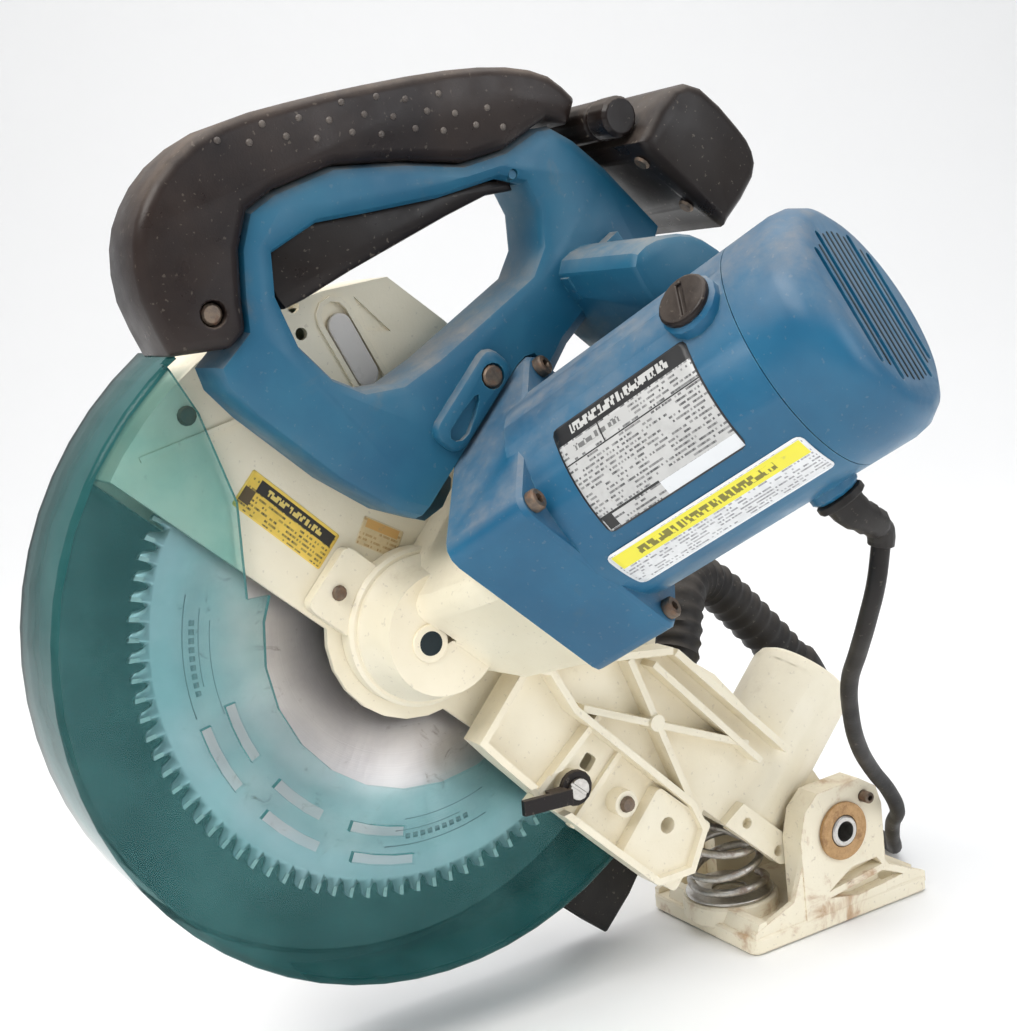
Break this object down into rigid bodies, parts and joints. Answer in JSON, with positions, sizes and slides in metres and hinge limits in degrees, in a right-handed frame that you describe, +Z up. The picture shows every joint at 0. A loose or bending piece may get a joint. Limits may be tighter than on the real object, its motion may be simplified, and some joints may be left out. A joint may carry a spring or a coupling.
{
  "type": "mitre saw head",
  "caption": "Cutting head of a slide compound mitre saw: slanted motor, D handle, toothed blade in a case with swinging clear guard, and a rear arm hinged on a sprung base bracket.",
  "frame": {"origin": "on the flat base face of the hinge bracket, straight below the hinge pin, midway across the head", "axes": "+X to the operator's right along the hinge pin and the blade's axis, +Y to the rear, +Z up out of the base face"},
  "size_m": [0.406, 0.4784, 0.4322],
  "materials": {
    "armature": "laminated steel with lacquered copper windings",
    "blade_bolt": "turned steel",
    "blade_bolt_cover": "cream painted light-alloy casting, aged and rust-stained in places",
    "blade_case": "cream painted light-alloy casting, aged and rust-stained in places",
    "brush_cap_front": "moulded black plastic, dusty",
    "brush_cap_rear": "moulded black plastic, dusty",
    "carbon_brush_front": "pressed carbon",
    "carbon_brush_rear": "pressed carbon",
    "case_screw": "turned steel",
    "channel_screw": "turned steel",
    "commutator": "laminated steel with lacquered copper windings",
    "cooling_fan": "moulded black plastic, dusty",
    "cord_coil": "black rubber",
    "cord_strain_relief": "black rubber",
    "cover_screw_front": "turned steel",
    "cover_screw_rear": "turned steel",
    "driven_gear": "turned steel",
    "dust_boot": "black rubber",
    "dust_hose": "black rubber",
    "ear_set_screw": "steel screw with surface rust",
    "flange_screw_1": "steel screw with surface rust",
    "flange_screw_2": "steel screw with surface rust",
    "flange_screw_3": "steel screw with surface rust",
    "flange_screw_4": "steel screw with surface rust",
    "gear_housing": "cream painted light-alloy casting, aged and rust-stained in places",
    "grip_cover": "moulded black plastic, dusty",
    "grip_screw": "steel screw with surface rust",
    "guard_link": "moulded black plastic, dusty",
    "handle_frame": "moulded teal-blue plastic, dusty",
    "handle_screw": "steel screw with surface rust",
    "hinge_bracket": "cream painted light-alloy casting, aged and rust-stained in places",
    "hinge_bush_left": "sintered bronze",
    "hinge_bush_right": "sintered bronze",
    "hinge_shaft": "turned steel",
    "housing_screw": "turned steel",
    "inner_flange": "turned steel",
    "lamp_box": "moulded black plastic, dusty",
    "lamp_lens": "clear lens plastic",
    "lamp_screw_1": "steel screw with surface rust",
    "lamp_screw_2": "steel screw with surface rust",
    "lamp_switch_barrel": "moulded black plastic, dusty",
    "link_pivot_screw": "turned steel",
    "lower_guard": "clear green tinted polycarbonate",
    "motor_end_cap": "moulded teal-blue plastic, dusty",
    "motor_front_bearing": "turned steel",
    "motor_housing": "moulded teal-blue plastic, dusty",
    "motor_rear_bearing": "turned steel",
    "outer_flange": "turned steel",
    "pinion": "turned steel",
    "power_cord": "black rubber",
    "power_plug": "black rubber",
    "rear_arm": "cream painted light-alloy casting, aged and rust-stained in places",
    "return_spring": "turned steel",
    "saw_blade": "turned steel",
    "spindle": "turned steel",
    "spindle_bearing": "turned steel",
    "spring_seat_washer": "turned steel",
    "stator": "laminated steel with lacquered copper windings",
    "trigger": "moulded black plastic, dusty",
    "trigger_pin": "turned steel"
  },
  "bodies": {
    "base": {"hinge_bracket": "hinge_bracket", "hinge_bush_right": "hinge_bush_right", "hinge_bush_left": "hinge_bush_left", "hinge_shaft": "hinge_shaft", "ear_set_screw": "ear_set_screw", "spring_seat_washer": "spring_seat_washer", "return_spring": "return_spring", "power_cord": "power_cord", "cord_coil": "cord_coil", "power_plug": "power_plug"},
    "spindle": {"saw_blade": "saw_blade", "inner_flange": "inner_flange", "outer_flange": "outer_flange", "blade_bolt": "blade_bolt", "spindle": "spindle", "driven_gear": "driven_gear"},
    "rotor": {"armature": "armature", "commutator": "commutator", "cooling_fan": "cooling_fan", "pinion": "pinion"},
    "guard": {"lower_guard": "lower_guard"},
    "trigger": {"trigger": "trigger"},
    "head": {"blade_bolt_cover": "blade_bolt_cover", "blade_case": "blade_case", "brush_cap_front": "brush_cap_front", "brush_cap_rear": "brush_cap_rear", "carbon_brush_front": "carbon_brush_front", "carbon_brush_rear": "carbon_brush_rear", "case_screw": "case_screw", "channel_screw": "channel_screw", "cord_strain_relief": "cord_strain_relief", "cover_screw_front": "cover_screw_front", "cover_screw_rear": "cover_screw_rear", "dust_boot": "dust_boot", "dust_hose": "dust_hose", "flange_screw_1": "flange_screw_1", "flange_screw_2": "flange_screw_2", "flange_screw_3": "flange_screw_3", "flange_screw_4": "flange_screw_4", "gear_housing": "gear_housing", "grip_cover": "grip_cover", "grip_screw": "grip_screw", "guard_link": "guard_link", "handle_frame": "handle_frame", "handle_screw": "handle_screw", "housing_screw": "housing_screw", "lamp_box": "lamp_box", "lamp_lens": "lamp_lens", "lamp_screw_1": "lamp_screw_1", "lamp_screw_2": "lamp_screw_2", "lamp_switch_barrel": "lamp_switch_barrel", "link_pivot_screw": "link_pivot_screw", "motor_end_cap": "motor_end_cap", "motor_front_bearing": "motor_front_bearing", "motor_housing": "motor_housing", "motor_rear_bearing": "motor_rear_bearing", "rear_arm": "rear_arm", "spindle_bearing": "spindle_bearing", "stator": "stator", "trigger_pin": "trigger_pin"}
  },
  "joints": [
    {"name": "head_tilt", "type": "hinge", "parent": "base", "child": "head", "pos_m": [0, 0, 0.049], "axis": [1, 0, 0], "range_deg": [0, 43], "stiffness_Nm_per_rad": 15, "springref_deg": -126.05, "deforming": ["return_spring", "power_cord"]},
    {"name": "blade_spin", "type": "hinge", "parent": "head", "child": "spindle", "pos_m": [0, -0.21036, 0.19731], "axis": [1, 0, 0], "continuous": true},
    {"name": "motor_spin", "type": "hinge", "parent": "head", "child": "rotor", "pos_m": [0, -0.21036, 0.19731], "axis": [0.7547, 0.4474, 0.4798], "continuous": true},
    {"name": "guard_swing", "type": "hinge", "parent": "head", "child": "guard", "pos_m": [0, -0.21036, 0.19731], "axis": [1, 0, 0], "range_deg": [-130, 0]},
    {"name": "trigger_press", "type": "hinge", "parent": "head", "child": "trigger", "pos_m": [0.043, -0.16254, 0.38789], "axis": [-1, 0, 0], "range_deg": [0, 3.9], "stiffness_Nm_per_rad": 0.6, "springref_deg": -8.59}
  ],
  "couplings": [
    {"joint": "motor_spin", "follows": "blade_spin", "ratio": -3},
    {"joint": "guard_swing", "follows": "head_tilt", "ratio": -3.023}
  ]
}
